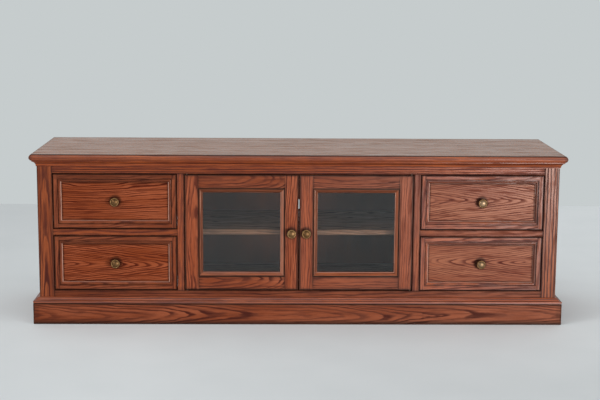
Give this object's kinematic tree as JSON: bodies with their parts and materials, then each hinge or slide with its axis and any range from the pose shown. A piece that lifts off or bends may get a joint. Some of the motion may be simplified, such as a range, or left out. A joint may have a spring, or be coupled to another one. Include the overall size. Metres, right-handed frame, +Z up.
{
  "type": "tv stand",
  "caption": "Low wide media cabinet in stained wood with framed inset drawers at both ends, a pair of glazed inset doors in the middle, a shelf behind them and a moulded plinth and top.",
  "frame": {"origin": "on the floor, under the middle of the bounding box, knobs included", "axes": "+X along the width to the viewer's right when facing the front, +Y from the front to the back, +Z up"},
  "size_m": [1.8, 0.485, 0.58],
  "materials": {
    "oak": "red-brown stain, satin lacquer, dark burnished edges",
    "inner_wood": "same stain, matt",
    "drawer_wood": "pale, matt",
    "aged_brass": "aged, rim rubbed bright",
    "slide_steel": "zinc plated",
    "fitting_steel": "bronzed",
    "catch_plastic": "moulded",
    "clear_glass": "plain clear"
  },
  "bodies": {
    "carcase": {"top_panel": "oak", "cornice": "oak", "front_posts": "oak", "rear_posts": "oak", "top_rail": "oak", "bottom_rail": "oak", "mid_stiles": "oak", "drawer_rails": "oak", "side_panels": "oak", "side_rails": "oak", "partitions": "inner_wood", "bottom_panel": "inner_wood", "shelf": "inner_wood", "shelf_pins": "fitting_steel", "back_panel": "inner_wood", "rear_rails": "inner_wood", "plinth_boards": "oak", "plinth_cap": "oak", "plinth_bearers": "inner_wood", "slide_outers": "slide_steel", "slide_battens": "inner_wood", "pivot_plates": "fitting_steel", "door_catches": "catch_plastic", "top_blocks": "inner_wood"},
    "drawer_upper_left": {"drawer_upper_left_front": "oak", "drawer_upper_left_panel": "oak", "drawer_upper_left_box": "drawer_wood", "drawer_upper_left_knob": "aged_brass", "drawer_upper_left_runners": "slide_steel"},
    "drawer_upper_left_middles": {"drawer_upper_left_slide_middles": "slide_steel"},
    "drawer_upper_right": {"drawer_upper_right_front": "oak", "drawer_upper_right_panel": "oak", "drawer_upper_right_box": "drawer_wood", "drawer_upper_right_knob": "aged_brass", "drawer_upper_right_runners": "slide_steel"},
    "drawer_upper_right_middles": {"drawer_upper_right_slide_middles": "slide_steel"},
    "drawer_lower_left": {"drawer_lower_left_front": "oak", "drawer_lower_left_panel": "oak", "drawer_lower_left_box": "drawer_wood", "drawer_lower_left_knob": "aged_brass", "drawer_lower_left_runners": "slide_steel"},
    "drawer_lower_left_middles": {"drawer_lower_left_slide_middles": "slide_steel"},
    "drawer_lower_right": {"drawer_lower_right_front": "oak", "drawer_lower_right_panel": "oak", "drawer_lower_right_box": "drawer_wood", "drawer_lower_right_knob": "aged_brass", "drawer_lower_right_runners": "slide_steel"},
    "drawer_lower_right_middles": {"drawer_lower_right_slide_middles": "slide_steel"},
    "door_left": {"door_left_frame": "oak", "door_left_moulding": "oak", "door_left_glass": "clear_glass", "door_left_beads": "oak", "door_left_knob": "aged_brass", "door_left_fittings": "fitting_steel"},
    "door_right": {"door_right_frame": "oak", "door_right_moulding": "oak", "door_right_glass": "clear_glass", "door_right_beads": "oak", "door_right_knob": "aged_brass", "door_right_fittings": "fitting_steel"}
  },
  "joints": [
    {"name": "drawer_upper_left_pull", "type": "slide", "parent": "carcase", "child": "drawer_upper_left", "axis": [0, -1, 0], "range_m": [0, 0.3]},
    {"name": "drawer_upper_left_middles_pull", "type": "slide", "parent": "carcase", "child": "drawer_upper_left_middles", "axis": [0, -1, 0], "range_m": [0, 0.15]},
    {"name": "drawer_upper_right_pull", "type": "slide", "parent": "carcase", "child": "drawer_upper_right", "axis": [0, -1, 0], "range_m": [0, 0.3]},
    {"name": "drawer_upper_right_middles_pull", "type": "slide", "parent": "carcase", "child": "drawer_upper_right_middles", "axis": [0, -1, 0], "range_m": [0, 0.15]},
    {"name": "drawer_lower_left_pull", "type": "slide", "parent": "carcase", "child": "drawer_lower_left", "axis": [0, -1, 0], "range_m": [0, 0.3]},
    {"name": "drawer_lower_left_middles_pull", "type": "slide", "parent": "carcase", "child": "drawer_lower_left_middles", "axis": [0, -1, 0], "range_m": [0, 0.15]},
    {"name": "drawer_lower_right_pull", "type": "slide", "parent": "carcase", "child": "drawer_lower_right", "axis": [0, -1, 0], "range_m": [0, 0.3]},
    {"name": "drawer_lower_right_middles_pull", "type": "slide", "parent": "carcase", "child": "drawer_lower_right_middles", "axis": [0, -1, 0], "range_m": [0, 0.15]},
    {"name": "door_left_swing", "type": "hinge", "parent": "carcase", "child": "door_left", "pos_m": [-0.3785, -0.2085, 0.3135], "axis": [0, 0, -1], "range_deg": [0, 90]},
    {"name": "door_right_swing", "type": "hinge", "parent": "carcase", "child": "door_right", "pos_m": [0.3785, -0.2085, 0.3135], "axis": [0, 0, 1], "range_deg": [0, 90]}
  ],
  "couplings": [
    {"joint": "drawer_upper_left_middles_pull", "follows": "drawer_upper_left_pull", "ratio": 0.5},
    {"joint": "drawer_upper_right_middles_pull", "follows": "drawer_upper_right_pull", "ratio": 0.5},
    {"joint": "drawer_lower_left_middles_pull", "follows": "drawer_lower_left_pull", "ratio": 0.5},
    {"joint": "drawer_lower_right_middles_pull", "follows": "drawer_lower_right_pull", "ratio": 0.5}
  ]
}
